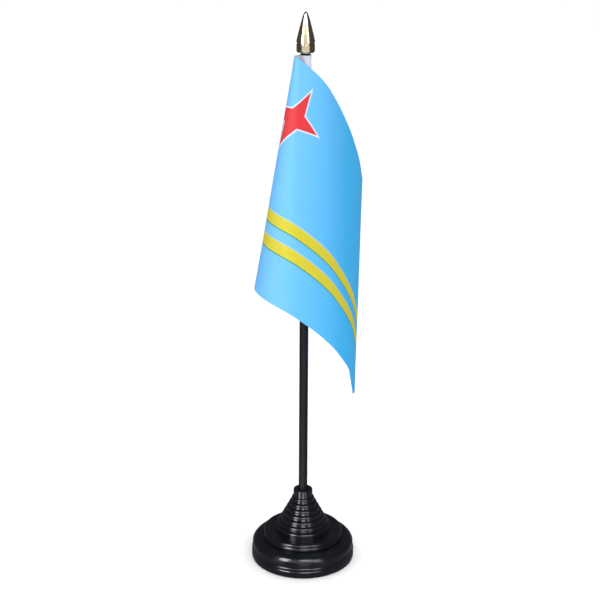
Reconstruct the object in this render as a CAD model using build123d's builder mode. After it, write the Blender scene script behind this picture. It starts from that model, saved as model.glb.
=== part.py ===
import os
from math import cos, pi, radians, sin, sqrt

from build123d import *

os.makedirs("parts", exist_ok=True)

# Desk flag stand. Millimetres, +Z up, origin on the pole axis at the table.

# base, from the table up
base_r = 25.0
plate_h = 3.6
plate_floor = 1.6
seam_gap = 0.1
rim_top = 5.1
skirt_r = 24.6
skirt_top = 8.4
shoulder_r = 19.8
shoulder_top = 11.2
disc_r = 19.1
disc_top = 15.1
ring_count = 7
ring_r_low = 13.3
ring_r_high = 5.5
ring_z_low = 15.2
ring_z_high = 32.5
collar_r = 4.62
collar_top = 36.2

# inside the base
wall_r = 23.1
socket_r = 2.15
socket_floor = 16.0
socket_mouth_r = 2.6
boss_r = 3.7
boss_bottom = 13.0
spigot_r = 23.0
spigot_top = 5.6
ballast_r = 20.0
ballast_hole_r = 8.0
ballast_top = 6.6

# pole and finial
pole_r = 2.1
pole_bottom = 16.0
pole_top = 258.0
finial_bottom = 250.6
finial_top = 268.6
finial_r = 4.2
finial_bore_r = 2.13

# flag
sleeve_r = 2.35
sleeve_bore_r = 2.16
sleeve_bottom = 149.5
sleeve_top = 249.5
hoist = 100.0
fly = 147.7
cloth_t = 0.4
seam_r = 2.85
seam_angle = 191.0
leave_angle = 224.5

# The cloth is a flat sheet bent along straight lines that fan out from the hoist's top corner.
# Each bend: where its lines meet the top edge and the bottom edge (from, to), the turn, the steps.
cloth_bends = [
    (2.1, 7.1, 21.7, 60.8, 171.0, 14),
    (10.9, 32.8, 61.4, 98.8, 30.4, 4),
    (34.0, 104.3, 104.7, 129.2, 14.4, 3),
    (109.3, 135.6, 143.0, 146.2, 37.4, 5),
]


def turned(point, start, end, degrees):
    """Turn a point about the line from start to end."""
    axis = (end - start).normalized()
    arm = point - start
    turn = radians(degrees)
    along = axis * (axis.dot(arm) * (1 - cos(turn)))
    return start + arm * cos(turn) + axis.cross(arm) * sin(turn) + along


# ---- base plate: shallow dish that closes the shell from below
with BuildPart() as base_plate:
    with BuildSketch(Plane.XZ):
        with BuildLine():
            Polyline(
                (0, 0), (base_r - 0.7, 0), (base_r - 0.2, 0.35), (base_r, 1.0),
                (base_r, plate_h - 0.35), (base_r - 0.25, plate_h), (spigot_r, plate_h),
                (spigot_r, spigot_top), (spigot_r - 1.6, spigot_top),
                (spigot_r - 1.6, plate_floor), (0, plate_floor), (0, 0),
            )
        make_face()
    revolve(axis=Axis.Z)
base_plate.part.label = "base_plate"
export_step(base_plate.part, "parts/base_plate.step")

# ---- base shell: rim, shoulder, beaded disc, stepped rings, collar and socket tube
ring_step = (ring_z_high - ring_z_low) / ring_count
ring_in = (ring_r_low - ring_r_high) / (ring_count - 1)
rim_low = plate_h + seam_gap
with BuildPart() as base_shell:
    with BuildSketch(Plane.XZ):
        with BuildLine():
            # rim with softened edges, up to the skirt
            Polyline(
                (wall_r, rim_low), (base_r - 0.25, rim_low), (base_r, rim_low + 0.35),
                (base_r, rim_top - 0.4),
            )
            ThreePointArc(
                (base_r, rim_top - 0.4), (base_r - 0.15, rim_top), (skirt_r, rim_top + 0.3)
            )
            Line((skirt_r, rim_top + 0.3), (skirt_r, skirt_top))
            # shoulder, then the step up to the disc
            ThreePointArc(
                (skirt_r, skirt_top),
                (skirt_r - 0.3 * (skirt_r - shoulder_r), skirt_top + 0.72 * (shoulder_top - skirt_top)),
                (shoulder_r, shoulder_top),
            )
            Line((shoulder_r, shoulder_top), (disc_r - 0.2, shoulder_top))
            # two beads round the disc's edge
            bead_mid = shoulder_top + 1.75
            ThreePointArc(
                (disc_r - 0.2, shoulder_top), (disc_r + 0.05, shoulder_top + 0.9), (disc_r - 0.3, bead_mid)
            )
            ThreePointArc(
                (disc_r - 0.3, bead_mid), (disc_r, bead_mid + 0.95), (disc_r - 1.1, disc_top - 0.05)
            )
            # disc top dips a little towards the rings
            Polyline(
                (disc_r - 1.1, disc_top - 0.05), (disc_r - 2.1, disc_top - 0.15),
                (ring_r_low, disc_top - 0.15), (ring_r_low, ring_z_low),
            )
            # stepped rings, each a short wall under a rounded shoulder
            for ring in range(ring_count):
                low = ring_z_low + ring * ring_step
                outer = ring_r_low - ring * ring_in
                inner = outer - ring_in if ring < ring_count - 1 else collar_r
                width = outer - inner
                Line((outer, low), (outer, low + 0.4 * ring_step))
                ThreePointArc(
                    (outer, low + 0.4 * ring_step),
                    (outer - 0.3 * width, low + 0.83 * ring_step),
                    (inner, low + ring_step),
                )
            Line((collar_r, ring_z_high), (collar_r, collar_top - 0.5))
            ThreePointArc(
                (collar_r, collar_top - 0.5),
                (collar_r - 0.15, collar_top - 0.15),
                (collar_r - 0.5, collar_top),
            )
            # mouth, socket and socket tube
            Polyline(
                (collar_r - 0.5, collar_top), (socket_mouth_r, collar_top), (socket_r, collar_top - 0.9),
                (socket_r, socket_floor), (0, socket_floor), (0, boss_bottom), (boss_r, boss_bottom),
                (boss_r, 25.5),
            )
            # underside of the rings and the disc, with a rib that holds the ballast down
            Polyline(
                (boss_r, 25.5), (5.2, 25.5), (11.3, 13.4), (13.6, 13.4), (13.6, ballast_top),
                (15.2, ballast_top), (15.2, 13.2), (17.3, 13.2), (17.3, 9.3), (wall_r - 1.4, 9.0),
                (wall_r, 7.6), (wall_r, rim_low),
            )
        make_face()
    revolve(axis=Axis.Z)
base_shell.part.label = "base_shell"
export_step(base_shell.part, "parts/base_shell.step")

# ---- ballast ring: steel washer on the plate's floor
with BuildPart() as ballast_ring:
    with BuildSketch(Plane.XY.offset(plate_floor)):
        Circle(ballast_r)
        Circle(ballast_hole_r, mode=Mode.SUBTRACT)
    extrude(amount=ballast_top - plate_floor)
    chamfer(ballast_ring.edges().filter_by(GeomType.CIRCLE), 0.3)
ballast_ring.part.label = "ballast_ring"
export_step(ballast_ring.part, "parts/ballast_ring.step")

# ---- pole: straight rod with broken edges
with BuildPart() as pole:
    with BuildSketch(Plane.XY.offset(pole_bottom)):
        Circle(pole_r)
    extrude(amount=pole_top - pole_bottom)
    chamfer(pole.edges().filter_by(GeomType.CIRCLE), 0.3)
pole.part.label = "pole"
export_step(pole.part, "parts/pole.step")

# ---- finial: spear tip over a short band, with a blind hole
with BuildPart() as finial:
    with BuildSketch(Plane.XZ):
        with BuildLine():
            Polyline(
                (0, pole_top), (finial_bore_r, pole_top), (finial_bore_r, finial_bottom + 0.3),
                (finial_bore_r + 0.3, finial_bottom), (finial_r - 0.9, finial_bottom),
            )
            ThreePointArc(
                (finial_r - 0.9, finial_bottom),
                (finial_r - 0.35, finial_bottom + 0.25),
                (finial_r - 0.1, finial_bottom + 0.8),
            )
            Line((finial_r - 0.1, finial_bottom + 0.8), (finial_r - 0.1, 254.3))
            ThreePointArc(
                (finial_r - 0.1, 254.3), (finial_r - 0.45, 254.75), (finial_r, 255.2)
            )
            Spline(
                (finial_r, 255.2), (2.98, 260.6), (1.86, 264.9), (0.75, finial_top - 0.6),
                (0, finial_top), tangents=((-0.18, 1), (-1, 0)),
            )
            Line((0, finial_top), (0, pole_top))
        make_face()
    revolve(axis=Axis.Z)
finial.part.label = "finial"
export_step(finial.part, "parts/finial.step")

# ---- flag sleeve: tape sewn into a tube
with BuildPart() as flag_sleeve:
    with BuildSketch(Plane.XY.offset(sleeve_bottom)):
        Circle(sleeve_r)
        Circle(sleeve_bore_r, mode=Mode.SUBTRACT)
    extrude(amount=sleeve_top - sleeve_bottom)
flag_sleeve.part.label = "flag_sleeve"
export_step(flag_sleeve.part, "parts/flag_sleeve.step")

# ---- flag cloth: plain thin solid over the bent sheet
seam_x = seam_r * cos(radians(seam_angle))
seam_y = seam_r * sin(radians(seam_angle))
out_x = cos(radians(leave_angle))
out_y = sin(radians(leave_angle))


def flat_point(along, down):
    """A point of the sheet before it is bent, standing in one upright plane."""
    return Vector(seam_x + along * out_x, seam_y + along * out_y, sleeve_top - down)


lines = [(0.0, 0.0, 0.0)]
for top_from, top_to, low_from, low_to, turn, steps in cloth_bends:
    for step in range(steps):
        share = (step + 0.5) / steps
        top_at = top_from + (top_to - top_from) * share
        low_at = low_from + (low_to - low_from) * share
        lines.append((top_at, low_at, turn / steps))
lines.append((fly, fly, 0.0))
tops = [flat_point(top_at, 0) for top_at, low_at, turn in lines]
lows = [flat_point(low_at, hoist) for top_at, low_at, turn in lines]
for here in range(1, len(lines) - 1):
    for after in range(here + 1, len(lines)):
        tops[after] = turned(tops[after], lows[here], tops[here], lines[here][2])
        lows[after] = turned(lows[after], lows[here], tops[here], lines[here][2])


def panel_normal(first, second):
    """Normal of the flat panel between two neighbouring lines."""
    across = (tops[second] + lows[second]) - (tops[first] + lows[first])
    return (tops[first] - lows[first]).cross(across).normalized()


with BuildPart() as flag_cloth:
    last = len(lines) - 1
    for here in range(len(lines)):
        before = panel_normal(max(here - 1, 0), max(here, 1))
        behind = panel_normal(min(here, last - 1), min(here + 1, last))
        run = tops[here] - lows[here]
        face_out = (before + behind).normalized()
        middle = (tops[here] + lows[here]) * 0.5
        with BuildSketch(Plane(origin=middle, x_dir=run, z_dir=run.cross(face_out))):
            Rectangle(run.length, cloth_t)
    loft(ruled=True)
flag_cloth.part.label = "flag_cloth"
export_step(flag_cloth.part, "parts/flag_cloth.step")

# ---- stitches: a row of thread runs down the hem beside the sleeve
stitch_r = 0.12
stitch_len = 2.4
stitch_pitch = 3.6
stitch_in = 1.2
stitch_off = cloth_t / 2 + stitch_r + 0.01
stitch_x = seam_x + stitch_in * out_x + stitch_off * out_y
stitch_y = seam_y + stitch_in * out_y - stitch_off * out_x
stitch_count = 27
with BuildPart() as flag_stitches:
    for number in range(stitch_count):
        top_z = sleeve_top - 2.0 - number * stitch_pitch
        with BuildSketch(Plane.XY.offset(top_z)):
            with Locations((stitch_x, stitch_y)):
                Circle(stitch_r)
        extrude(amount=-stitch_len)
flag_stitches.part.label = "flag_stitches"
export_step(flag_stitches.part, "parts/flag_stitches.step")
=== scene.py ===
import math

import bpy
from mathutils import Matrix, Vector


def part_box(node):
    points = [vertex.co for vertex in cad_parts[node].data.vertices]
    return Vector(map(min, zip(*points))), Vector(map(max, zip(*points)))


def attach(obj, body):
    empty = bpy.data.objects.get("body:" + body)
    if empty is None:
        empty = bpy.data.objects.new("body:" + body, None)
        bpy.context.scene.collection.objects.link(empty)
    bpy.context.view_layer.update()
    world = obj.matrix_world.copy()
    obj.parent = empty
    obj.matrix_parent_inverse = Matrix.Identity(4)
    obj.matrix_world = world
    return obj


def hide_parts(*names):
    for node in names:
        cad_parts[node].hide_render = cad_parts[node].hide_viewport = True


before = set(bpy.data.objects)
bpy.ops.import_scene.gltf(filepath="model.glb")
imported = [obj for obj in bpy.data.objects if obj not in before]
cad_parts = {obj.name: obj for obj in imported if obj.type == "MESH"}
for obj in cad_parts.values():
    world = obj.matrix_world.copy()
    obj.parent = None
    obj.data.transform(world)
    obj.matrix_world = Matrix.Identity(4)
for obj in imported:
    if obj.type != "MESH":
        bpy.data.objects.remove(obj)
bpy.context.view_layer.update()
print("frame loaded:", len(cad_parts), "nodes")

scene = bpy.context.scene
scene.view_settings.view_transform = "Standard"


# shader maths

class Wire:  # one socket, so that maths on it reads as plain maths
    def __init__(self, tree, socket):
        self.tree = tree
        self.socket = socket

    def sum(self, operation, first, second=None):
        step = self.tree.nodes.new("ShaderNodeMath")
        step.operation = operation
        for place, value in enumerate((first, second)):
            if value is not None:
                plug(self.tree, step.inputs[place], value)
        return Wire(self.tree, step.outputs[0])

    def __add__(self, other):
        return self.sum("ADD", self, other)

    def __radd__(self, other):
        return self.sum("ADD", other, self)

    def __sub__(self, other):
        return self.sum("SUBTRACT", self, other)

    def __rsub__(self, other):
        return self.sum("SUBTRACT", other, self)

    def __mul__(self, other):
        return self.sum("MULTIPLY", self, other)

    def __rmul__(self, other):
        return self.sum("MULTIPLY", other, self)

    def __truediv__(self, other):
        return self.sum("DIVIDE", self, other)

    def __abs__(self):
        return self.sum("ABSOLUTE", self)

    def larger(self, other):
        return self.sum("MAXIMUM", self, other)

    def smaller(self, other):
        return self.sum("MINIMUM", self, other)

    def sine(self):
        return self.sum("SINE", self)

    def held(self):  # kept between 0 and 1
        return self.larger(0.0).smaller(1.0)

    def other(self, place):  # another output of the same node
        return Wire(self.tree, self.socket.node.outputs[place])


def plug(tree, socket, value):
    if isinstance(value, Wire):
        tree.links.new(value.socket, socket)
    elif hasattr(value, "__len__") and len(value) == 3 and socket.type == "RGBA":
        socket.default_value = (*value, 1.0)
    else:
        socket.default_value = value


class Finish:  # a material, its shader and the nodes that feed it
    def __init__(self, name, **constants):
        self.material = bpy.data.materials.new(name)
        self.material.use_nodes = True
        self.tree = self.material.node_tree
        self.tree.nodes.clear()
        self.shader = self.tree.nodes.new("ShaderNodeBsdfPrincipled")
        output = self.tree.nodes.new("ShaderNodeOutputMaterial")
        self.tree.links.new(self.shader.outputs[0], output.inputs[0])
        for label, value in constants.items():
            self.feed(label.replace("_", " "), value)

    def node(self, kind, settings=None, inputs=None, out=0):
        made = self.tree.nodes.new(kind)
        for label, value in (settings or {}).items():
            if label == "stops":
                ramp = made.color_ramp
                while len(ramp.elements) < len(value):
                    ramp.elements.new(0.5)
                for element, (place, colour) in zip(ramp.elements, value):
                    element.position = place
                    element.color = (*colour, 1.0)
            else:
                setattr(made, label, value)
        for label, value in (inputs or {}).items():
            plug(self.tree, made.inputs[label], value)
        return Wire(self.tree, made.outputs[out])

    def mix(self, share, first, second):  # colours, by share
        return self.node("ShaderNodeMix", {"data_type": "RGBA"}, {0: share, 6: first, 7: second}, out=2)

    def noise(self, place, scale, detail=2.0, rough=0.5):
        return self.node("ShaderNodeTexNoise", None, {
            "Vector": place, "Scale": scale, "Detail": detail, "Roughness": rough})

    def feed(self, label, value):
        plug(self.tree, self.shader.inputs[label], value)

    def bump(self, height, strength, distance):
        self.feed("Normal", self.node("ShaderNodeBump", None, {
            "Strength": strength, "Distance": distance, "Height": height}))

    def objectPlace(self):
        return self.node("ShaderNodeTexCoord", None, None, out=3)


def wear(node, finish):  # gives a carried-over part its material
    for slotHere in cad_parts[node].material_slots:
        slotHere.material = finish.material


# shape helpers

def deselectAll():
    if bpy.context.object and bpy.context.object.mode != "OBJECT":
        bpy.ops.object.mode_set(mode="OBJECT")
    bpy.ops.object.select_all(action="DESELECT")


def pick(piece):
    deselectAll()
    piece.select_set(True)
    bpy.context.view_layer.objects.active = piece


def thicken(piece, thickness):
    pick(piece)
    wall = piece.modifiers.new("wall", "SOLIDIFY")
    wall.thickness = thickness
    wall.offset = 0.0
    wall.use_even_offset = True
    bpy.ops.object.modifier_apply(modifier=wall.name)
    bpy.ops.object.shade_smooth_by_angle(angle=math.radians(50))


# flag cloth

cloth = dict(
    fly=147.7,             # mm, seam to loose edge
    hoist=100.0,           # mm, top to bottom
    thickness=0.18,        # mm
    seamRadius=2.85,       # mm from the pole axis
    seamAngle=191.0,       # where the seam stands round the pole
    leaveAngle=224.5,      # which way the cloth leaves it
    bends=[                # along the top edge from, to; along the bottom edge from, to; turn; steps
        (2.1, 7.1, 21.7, 60.8, 171.0, 44),
        (10.9, 32.8, 61.4, 98.8, 30.4, 12),
        (34.0, 104.3, 104.7, 129.2, 14.8, 14),
        (111.0, 128.0, 145.0, 147.6, 48.0, 16),
    ],
    pucker=0.08,           # mm, along the sewn edge
    puckerPitch=3.6,
    ripple=0.07,           # mm, slow waves over the cloth
    edgeWave=0.06,         # mm, where the edges hang free
    rows=100,
    column=1.5,            # mm, widest column of faces
)
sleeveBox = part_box("flag_sleeve")
topZ = sleeveBox[1][2] * 1000.0


def foldLines():  # each bend as where it meets the top, the bottom, and the place of the cloth after it
    angle = math.radians(cloth["leaveAngle"])
    seam = math.radians(cloth["seamAngle"])
    along = Vector((math.cos(angle), math.sin(angle), 0.0))
    down = Vector((0.0, 0.0, -1.0))
    face = along.cross(down)
    place = Matrix((along, down, face)).transposed().to_4x4()
    place.translation = Vector((
        cloth["seamRadius"] * math.cos(seam), cloth["seamRadius"] * math.sin(seam), topZ))
    lines = [(-1.0, -1.0, place)]
    for topFrom, topTo, lowFrom, lowTo, turn, steps in cloth["bends"]:
        for step in range(steps):
            share = (step + 0.5) / steps
            topAt = topFrom + (topTo - topFrom) * share
            lowAt = lowFrom + (lowTo - lowFrom) * share
            axis = Vector((lowAt - topAt, cloth["hoist"], 0.0))
            pivot = Matrix.Translation((topAt, 0.0, 0.0))
            roll = Matrix.Rotation(-math.radians(turn / steps), 4, axis)
            place = place @ pivot @ roll @ pivot.inverted()
            lines.append((topAt, lowAt, place))
    return lines


lines = foldLines()


def clothPoint(along, down, lift=0.0):  # a point of the flat cloth, where it hangs, in metres
    share = down / cloth["hoist"]
    place = lines[0][2]
    for topAt, lowAt, after in lines[1:]:
        if along <= topAt + (lowAt - topAt) * share:
            break
        place = after
    return place @ Vector((along, down, lift)) * 0.001


def clothWave(along, down):
    free = min(1.0, along / 12.0)
    pucker = cloth["pucker"] * math.exp(-along / 4.0) * math.sin(down * 2 * math.pi / cloth["puckerPitch"])
    slow = (math.sin(along / 9.5 + down / 31.0) * math.sin(down / 23.0 + 0.7)
            + 0.5 * math.sin(along / 17.0 - down / 13.0))
    low = math.exp(-(cloth["hoist"] - down) / 4.0) * math.sin(along / 3.3 + 1.0)
    loose = math.exp(-(cloth["fly"] - along) / 4.0) * math.sin(down / 4.1)
    upper = math.exp(-down / 3.0) * math.sin(along / 3.9)
    return pucker + free * (cloth["ripple"] * slow + cloth["edgeWave"] * (low + loose + 0.5 * upper))


def makeCloth():
    columns = [(0.0, 0.0)] + [(topAt, lowAt) for topAt, lowAt, place in lines[1:]]
    columns.append((cloth["fly"], cloth["fly"]))
    fine = [columns[0]]
    for here, after in zip(columns, columns[1:]):
        parts = max(1, math.ceil(max(after[0] - here[0], after[1] - here[1]) / cloth["column"]))
        for part in range(1, parts + 1):
            fine.append(tuple(a + (b - a) * part / parts for a, b in zip(here, after)))
    rows = cloth["rows"]
    deselectAll()
    bpy.ops.mesh.primitive_grid_add(x_subdivisions=len(fine) - 1, y_subdivisions=rows, size=2.0)
    piece = bpy.context.object
    piece.name = "flag"
    mesh = piece.data
    mesh.uv_layers[0].name = "flatCloth"
    flat = {}
    for vertex in mesh.vertices:
        column = round((vertex.co.x + 1.0) / 2.0 * (len(fine) - 1))
        row = rows - round((vertex.co.y + 1.0) / 2.0 * rows)
        down = cloth["hoist"] * row / rows
        share = row / rows
        along = fine[column][0] + (fine[column][1] - fine[column][0]) * share
        flat[vertex.index] = (along, down)
        vertex.co = clothPoint(max(along - 0.001, 0.0), down, clothWave(along, down))
    sheetMap = mesh.uv_layers["flatCloth"].data
    for loop in mesh.loops:
        along, down = flat[loop.vertex_index]
        sheetMap[loop.index].uv = (along / cloth["fly"], 1.0 - down / cloth["hoist"])
    thicken(piece, cloth["thickness"] * 0.001)
    return piece


flag = makeCloth()
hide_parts("flag_cloth")
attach(flag, "flag")
print("cloth hung:", len(flag.data.polygons), "faces")


# tape that wraps the pole and grips the cloth's edge

tape = dict(
    radius=2.47,        # mm, middle of the tape round the pole
    thickness=0.2,      # mm
    hem=4.0,            # mm that lie on each face of the cloth
    off=0.22,           # mm from the cloth's middle
    mouth=26.0,         # degrees each side of the seam where it leaves the round
    sag=0.035,          # mm of unevenness
    around=22.0,        # mm, flat width
    weave=0.5,          # mm between threads
    inner=0.25,         # mm from the seam, where each face ends
    columns=8,          # mesh points along each face
    turns=48,           # faces round the pole
    rows=110,
)


def tapePath():
    path = []
    last = tape["columns"] - 1
    for step in range(tape["columns"]):
        path.append(("face", tape["hem"] - (tape["hem"] - tape["inner"]) * step / last, tape["off"]))
    start = cloth["seamAngle"] + tape["mouth"]
    sweep = 360.0 - 2.0 * tape["mouth"]
    for step in range(tape["turns"] + 1):
        path.append(("round", start + sweep * step / tape["turns"], 0.0))
    for step in range(tape["columns"]):
        path.append(("face", tape["inner"] + (tape["hem"] - tape["inner"]) * step / last, -tape["off"]))
    return path


def makeTape():
    path = tapePath()
    rows = tape["rows"]
    deselectAll()
    bpy.ops.mesh.primitive_grid_add(x_subdivisions=len(path) - 1, y_subdivisions=rows, size=2.0)
    piece = bpy.context.object
    piece.name = "tapeSleeve"
    mesh = piece.data
    mesh.uv_layers[0].name = "flatTape"
    for vertex in mesh.vertices:
        column = round((vertex.co.x + 1.0) / 2.0 * (len(path) - 1))
        row = rows - round((vertex.co.y + 1.0) / 2.0 * rows)
        down = cloth["hoist"] * row / rows
        kind, at, side = path[column]
        if kind == "face":
            wave = clothWave(at, down)
            vertex.co = clothPoint(at, down, side + wave)
        else:
            turn = math.radians(at)
            uneven = tape["sag"] * (math.sin(down / 3.1 + at / 40.0) + math.sin(down / 7.7 - at / 25.0))
            reach = tape["radius"] + abs(uneven)
            vertex.co = Vector((reach * math.cos(turn), reach * math.sin(turn), topZ - down)) * 0.001
    thicken(piece, tape["thickness"] * 0.001)
    return piece


tapeSleeve = makeTape()
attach(tapeSleeve, "flag")
print("tape wrapped")


# sewing thread

thread = dict(
    radius=0.12, length=2.4, pitch=3.6, first=2.0, count=27,   # mm
    rows=(1.2, 3.2),       # mm from the seam
    off=0.36,              # mm from the cloth's middle
)


def makeThread():
    deselectAll()
    bpy.ops.mesh.primitive_uv_sphere_add(segments=8, ring_count=6, radius=1.0)
    stitch = bpy.context.object
    stitch.name = "stitch"
    bpy.ops.object.mode_set(mode="EDIT")
    bpy.ops.mesh.select_all(action="SELECT")
    thin = thread["radius"] * 0.001
    bpy.ops.transform.resize(value=(thin, thin, thread["length"] * 0.0005))
    bpy.ops.object.mode_set(mode="OBJECT")
    shape = stitch.data
    runs = []
    for along in thread["rows"]:
        for side in (-1.0, 1.0):
            for number in range(thread["count"]):
                down = thread["first"] + number * thread["pitch"] + thread["length"] / 2
                reach = thread["length"] / 2
                lift = side * thread["off"] + clothWave(along, down)
                upper = clothPoint(along, down - reach, lift)
                lower = clothPoint(along, down + reach, lift)
                run = bpy.data.objects.new("run", shape.copy())
                scene.collection.objects.link(run)
                turn = (upper - lower).to_track_quat("Z", "Y").to_matrix().to_4x4()
                run.data.transform(Matrix.Translation((upper + lower) / 2) @ turn)
                runs.append(run)
    bpy.data.objects.remove(stitch)
    deselectAll()
    for run in runs:
        run.select_set(True)
    bpy.context.view_layer.objects.active = runs[0]
    bpy.ops.object.join()
    piece = bpy.context.object
    piece.name = "hemThread"
    bpy.ops.object.shade_smooth()
    return piece


hemThread = makeThread()
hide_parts("flag_stitches")
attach(hemThread, "flag")
print("seam sewn")


# finishes

printed = dict(
    # the second blue is the same ink painted lighter: a painted sheen where the cloth is lit
    blue=(0.006, 0.342, 0.69), sheenLitBlue=(0.132, 0.405, 0.75),
    yellow=(0.50, 0.44, 0.018), red=(0.56, 0.024, 0.032),
    white=(0.50, 0.58, 0.72), green=(0.008, 0.22, 0.08),
    stripes=((64.3, 69.4), (74.4, 79.6)),     # mm down from the top
    starAlong=17.6, starDown=23.7, starReach=14.7, starWaist=3.4, starLean=0.13, starRim=0.7,
    sheenFullTo=9.0, fade=55.0,                   # mm from the seam to where the painted sheen starts to fade, and over how many
    slant=0.4,                               # mm that this moves along for each mm down
    cloudy=0.2,                              # share of unevenness in it
    edge=0.12,                                # mm over which the ink changes
    weave=0.34,                               # mm between threads
)


def printedCloth():
    finish = Finish("printedCloth", Roughness=0.6, Specular_IOR_Level=0.3)
    flat = finish.node("ShaderNodeUVMap", {"uv_map": "flatCloth"})
    parts = finish.node("ShaderNodeSeparateXYZ", None, {0: flat})
    across = parts * cloth["fly"]
    down = (1.0 - parts.other(1)) * cloth["hoist"]
    edge = printed["edge"]

    def band(low, high):
        return ((down - low) / edge + 0.5).held() * ((high - down) / edge + 0.5).held()

    # painted sheen: the blue is painted lighter near the seam and the lit middle and deepens towards the
    # fly, standing in for light on the cloth
    tone = finish.noise(flat, 14.0, 3.0)
    thin = (1.0 - (across - printed["slant"] * down - printed["sheenFullTo"]) / printed["fade"]).held()
    paintedSheen = (thin * (1.0 - printed["cloudy"]) + printed["cloudy"] * tone).held()
    ink = finish.mix(paintedSheen, printed["blue"], printed["sheenLitBlue"])
    for low, high in printed["stripes"]:
        ink = finish.mix(band(low - 0.35, low + 0.2) * 0.45, ink, printed["white"])
        ink = finish.mix(band(low, high), ink, printed["yellow"])
        ink = finish.mix(band(high - 0.3, high + 0.25) * 0.9, ink, printed["green"])
    reach, waist = printed["starReach"], printed["starWaist"]
    sideways = abs(across - printed["starAlong"] + (down - printed["starDown"]) * printed["starLean"])
    upDown = abs(down - printed["starDown"])
    far = sideways.larger(upDown)
    near = sideways.smaller(upDown)
    slope = waist / (reach - waist)
    inside = ((reach - far) * slope - near) * (1.0 / math.sqrt(1.0 + slope * slope))
    rim = ((inside + printed["starRim"]) / edge + 0.5).held()
    ink = finish.mix(rim, ink, printed["white"])
    ink = finish.mix((inside / edge + 0.5).held(), ink, printed["red"])
    finish.feed("Base Color", ink)

    threads = 2 * math.pi / printed["weave"]
    weave = (across * threads).sine() * 0.5 + (down * threads).sine() * 0.5
    finish.bump(weave + 1.5 * finish.noise(flat, 40.0, 2.0), 0.35, 0.00003)
    return finish


def wovenTape():
    finish = Finish("wovenTape", Roughness=0.8, Sheen_Weight=0.2)
    flat = finish.node("ShaderNodeUVMap", {"uv_map": "flatTape"})
    parts = finish.node("ShaderNodeSeparateXYZ", None, {0: flat})
    ribs = (parts.other(1) * (cloth["hoist"] / tape["weave"] * 2 * math.pi)).sine()
    cords = (parts * (tape["around"] / tape["weave"] * 2 * math.pi)).sine()
    finish.feed("Base Color", finish.mix(0.5 + 0.25 * ribs, (0.41, 0.43, 0.51), (0.48, 0.49, 0.57)))
    finish.bump(ribs + cords, 0.4, 0.00004)
    return finish


def sleeveLining():
    finish = Finish("sleeveLining", Roughness=0.85)
    place = finish.objectPlace()
    finish.feed("Base Color", finish.mix(finish.noise(place, 900.0), (0.46, 0.48, 0.57), (0.55, 0.56, 0.65)))
    finish.bump(finish.noise(place, 2500.0), 0.3, 0.00004)
    return finish


def sewingThread():
    finish = Finish("sewingThread", Roughness=0.7, Sheen_Weight=0.3)
    place = finish.objectPlace()
    twist = finish.node("ShaderNodeTexWave", {"wave_type": "BANDS", "bands_direction": "DIAGONAL"}, {
        "Vector": place, "Scale": 1800.0, "Distortion": 0.5})
    finish.feed("Base Color", finish.mix(twist, (0.56, 0.58, 0.66), (0.70, 0.72, 0.78)))
    finish.bump(twist, 0.4, 0.00003)
    return finish


def glossMoulding(name, seedShift):
    finish = Finish(name, Specular_IOR_Level=0.5, Coat_Weight=0.25, Coat_Roughness=0.05)
    place = finish.objectPlace()
    cloud = finish.noise(place, 60.0 + seedShift, 4.0)
    scuff = finish.noise(place, 900.0, 2.0)
    finish.feed("Base Color", finish.mix(cloud, (0.0025, 0.0030, 0.0048), (0.0055, 0.0062, 0.0090)))
    finish.feed("Roughness", 0.13 + 0.10 * cloud + 0.04 * scuff)
    finish.bump(finish.noise(place, 220.0, 2.0), 0.12, 0.00004)
    return finish


def satinRod():
    finish = Finish("satinRod", Specular_IOR_Level=0.38)
    place = finish.objectPlace()
    drawn = finish.node("ShaderNodeMapping", None, {"Vector": place, "Scale": (1.0, 1.0, 0.02)})
    streak = finish.noise(drawn, 2600.0, 3.0)
    cloud = finish.noise(place, 90.0, 2.0)
    finish.feed("Base Color", finish.mix(streak, (0.0020, 0.0020, 0.0042), (0.0075, 0.0075, 0.0125)))
    finish.feed("Roughness", 0.36 + 0.14 * streak + 0.06 * cloud)
    finish.bump(streak, 0.18, 0.00003)
    return finish


def goldFilm():
    finish = Finish("goldFilm", Metallic=1.0, Specular_IOR_Level=0.5)
    place = finish.objectPlace()
    cloud = finish.noise(place, 160.0, 3.0)
    speck = finish.noise(place, 1500.0, 2.0)
    finish.feed("Base Color", finish.mix(cloud, (0.74, 0.62, 0.41), (0.86, 0.77, 0.57)))
    finish.feed("Roughness", 0.10 + 0.08 * cloud + 0.05 * speck)
    finish.bump(finish.noise(place, 420.0, 2.0), 0.10, 0.00003)
    return finish


def plainSteel():
    finish = Finish("plainSteel", Metallic=1.0)
    place = finish.objectPlace()
    grain = finish.noise(place, 700.0, 4.0)
    finish.feed("Base Color", finish.mix(grain, (0.36, 0.36, 0.37), (0.52, 0.52, 0.53)))
    finish.feed("Roughness", 0.30 + 0.20 * grain)
    finish.bump(grain, 0.2, 0.00004)
    return finish


flag.data.materials.clear()
flag.data.materials.append(printedCloth().material)
tapeSleeve.data.materials.append(wovenTape().material)
hemThread.data.materials.append(sewingThread().material)
wear("flag_sleeve", sleeveLining())
wear("base_shell", glossMoulding("glossShell", 0.0))
wear("base_plate", glossMoulding("glossPlate", 9.0))
wear("pole", satinRod())
wear("finial", goldFilm())
wear("ballast_ring", plainSteel())
print("finishes on")


# camera, floor and light

view = dict(lens=96.0, aside=-0.00193, back=-0.701, height=0.3919, down=20.2, roll=0.3)


def makeCamera():
    camera = bpy.data.objects.new("camera", bpy.data.cameras.new("camera"))
    scene.collection.objects.link(camera)
    camera.data.lens = view["lens"]
    camera.data.sensor_width = 36.0
    camera.data.clip_start = 0.01
    camera.location = (view["aside"], view["back"], view["height"])
    tilt = Matrix.Rotation(math.radians(90.0 - view["down"]), 4, "X")
    lean = Matrix.Rotation(math.radians(view["roll"]), 4, "Z")
    camera.rotation_euler = (tilt @ lean).to_euler()
    scene.camera = camera


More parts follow.
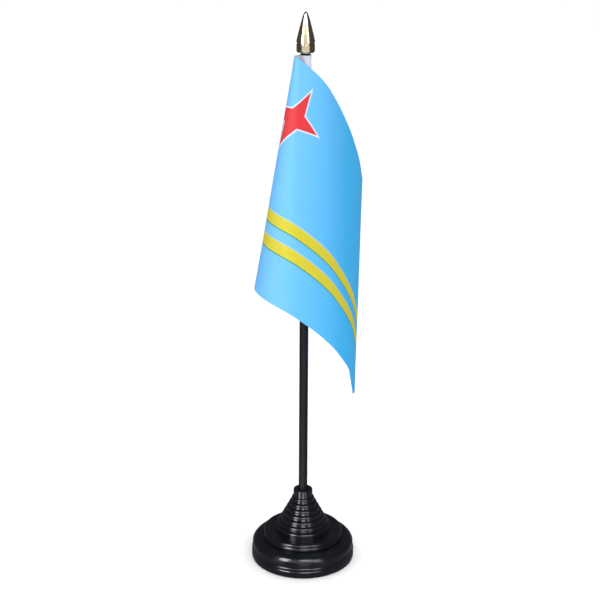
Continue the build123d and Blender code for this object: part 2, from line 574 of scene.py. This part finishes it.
def makeFloor():
    deselectAll()
    bpy.ops.mesh.primitive_plane_add(size=12.0, location=(0.0, 3.0, 0.0))
    floor = bpy.context.object
    floor.name = "floor"
    floor.visible_glossy = False
    finish = Finish("paleFloor", Roughness=0.9)
    cloud = finish.noise(finish.objectPlace(), 3.0)
    finish.feed("Base Color", finish.mix(cloud, (0.95, 0.95, 0.95), (0.97, 0.97, 0.97)))
    floor.data.materials.append(finish.material)


studio = dict(
    white=1.0,        # what the camera sees behind
    soft=1.08,        # what lights the matt parts all round
    dim=0.06,         # what shows in the glossy parts from the sides and back
    front=0.82,       # and from the front
    frontEdge=0.58,   # where the front begins, as the cosine of its half width
    table=0.16,       # what the glossy parts show of the table close by
    pools=[           # light on that table: turn and half width in radians, share
        (-0.70, 0.17, 1.0), (0.05, 0.16, 0.75), (0.54, 0.10, 0.5),
    ],
    poolSoft=0.05,    # radians over which a pool fades
    poolRing=((0.038, 0.012), (0.095, 0.02)),   # m from the axis to its start and end, and over how far
    poolColour=(5.6, 5.3, 6.0),
    # name, degrees to the right, degrees up, metres away, width, height, watts, colour, height aimed at
    lights=[
        ("left", -43.0, 26.0, 1.3, 0.42, 0.75, 11.0, (1.0, 0.93, 1.0), 0.12),
        ("middle", 8.0, 38.0, 1.3, 0.50, 0.55, 4.2, (0.90, 1.0, 0.95), 0.12),
        ("right", 33.0, 26.0, 1.3, 0.34, 0.75, 2.2, (1.0, 0.94, 1.0), 0.12),
        ("fill", 6.0, 20.0, 1.5, 1.2, 0.9, 13.0, (1.0, 1.0, 1.0), 0.15),
    ],
)


def makeLights():
    for name, aside, up, away, width, height, watts, colour, aim in studio["lights"]:
        lamp = bpy.data.lights.new(name, "AREA")
        lamp.shape = "RECTANGLE"
        lamp.size, lamp.size_y = width, height
        lamp.energy = watts
        lamp.color = colour
        holder = bpy.data.objects.new(name, lamp)
        scene.collection.objects.link(holder)
        holder.visible_diffuse = name == "fill"
        holder.visible_glossy = name != "fill"
        turn, rise = math.radians(aside), math.radians(up)
        reach = Vector((math.sin(turn) * math.cos(rise), -math.cos(turn) * math.cos(rise), math.sin(rise)))
        holder.location = Vector((0.0, 0.0, aim)) + reach * away
        holder.rotation_euler = (-reach).to_track_quat("-Z", "Y").to_euler()
    deselectAll()
    bpy.ops.mesh.primitive_circle_add(
        vertices=64, radius=0.25, fill_type="NGON", location=(0.0, 0.0, -0.0004))
    table = bpy.context.object
    table.name = "tableSheen"
    table.visible_camera = table.visible_diffuse = table.visible_shadow = False
    sheen = Finish(
        "tableSheen", Base_Color=(0.0, 0.0, 0.0), Specular_IOR_Level=0.0, Emission_Strength=1.0)
    spot = sheen.node("ShaderNodeSeparateXYZ", None, {0: sheen.objectPlace()})
    aside, ahead = spot, spot.other(1) * -1.0
    reach = aside.sum("SQRT", aside * aside + ahead * ahead)
    angle = aside.sum("ARCTAN2", aside, ahead)
    (inner, innerSoft), (outer, outerSoft) = studio["poolRing"]
    ring = ((reach - inner) / innerSoft).held() * ((outer - reach) / outerSoft).held()
    pools = 0.0
    for turn, half, share in studio["pools"]:
        pools = pools + ((half - abs(angle - turn)) / studio["poolSoft"] + 0.5).held() * share
    plain = (studio["table"] * 0.92, studio["table"] * 0.96, studio["table"] * 1.1)
    sheen.feed("Emission Color", sheen.mix(ring * pools, plain, studio["poolColour"]))
    table.data.materials.append(sheen.material)
    world = bpy.data.worlds.new("studio")
    scene.world = world
    world.use_nodes = True
    tree = world.node_tree
    rays = tree.nodes.new("ShaderNodeLightPath")
    around = tree.nodes.new("ShaderNodeTexCoord")
    parts = tree.nodes.new("ShaderNodeSeparateXYZ")
    tree.links.new(around.outputs["Generated"], parts.inputs[0])
    ahead = ((Wire(tree, parts.outputs[1]) * -1.0 - studio["frontEdge"]) * 6.0).held()
    shine = studio["dim"] + ahead * (studio["front"] - studio["dim"])
    level = (studio["soft"]
             + Wire(tree, rays.outputs["Is Camera Ray"]) * (studio["white"] - studio["soft"])
             + Wire(tree, rays.outputs["Is Glossy Ray"]) * (shine - studio["soft"]))
    plug(tree, tree.nodes["Background"].inputs["Strength"], level)
    plug(tree, tree.nodes["Background"].inputs["Color"], (1.0, 1.0, 1.0))


makeCamera()
makeFloor()
makeLights()
print("stage set")
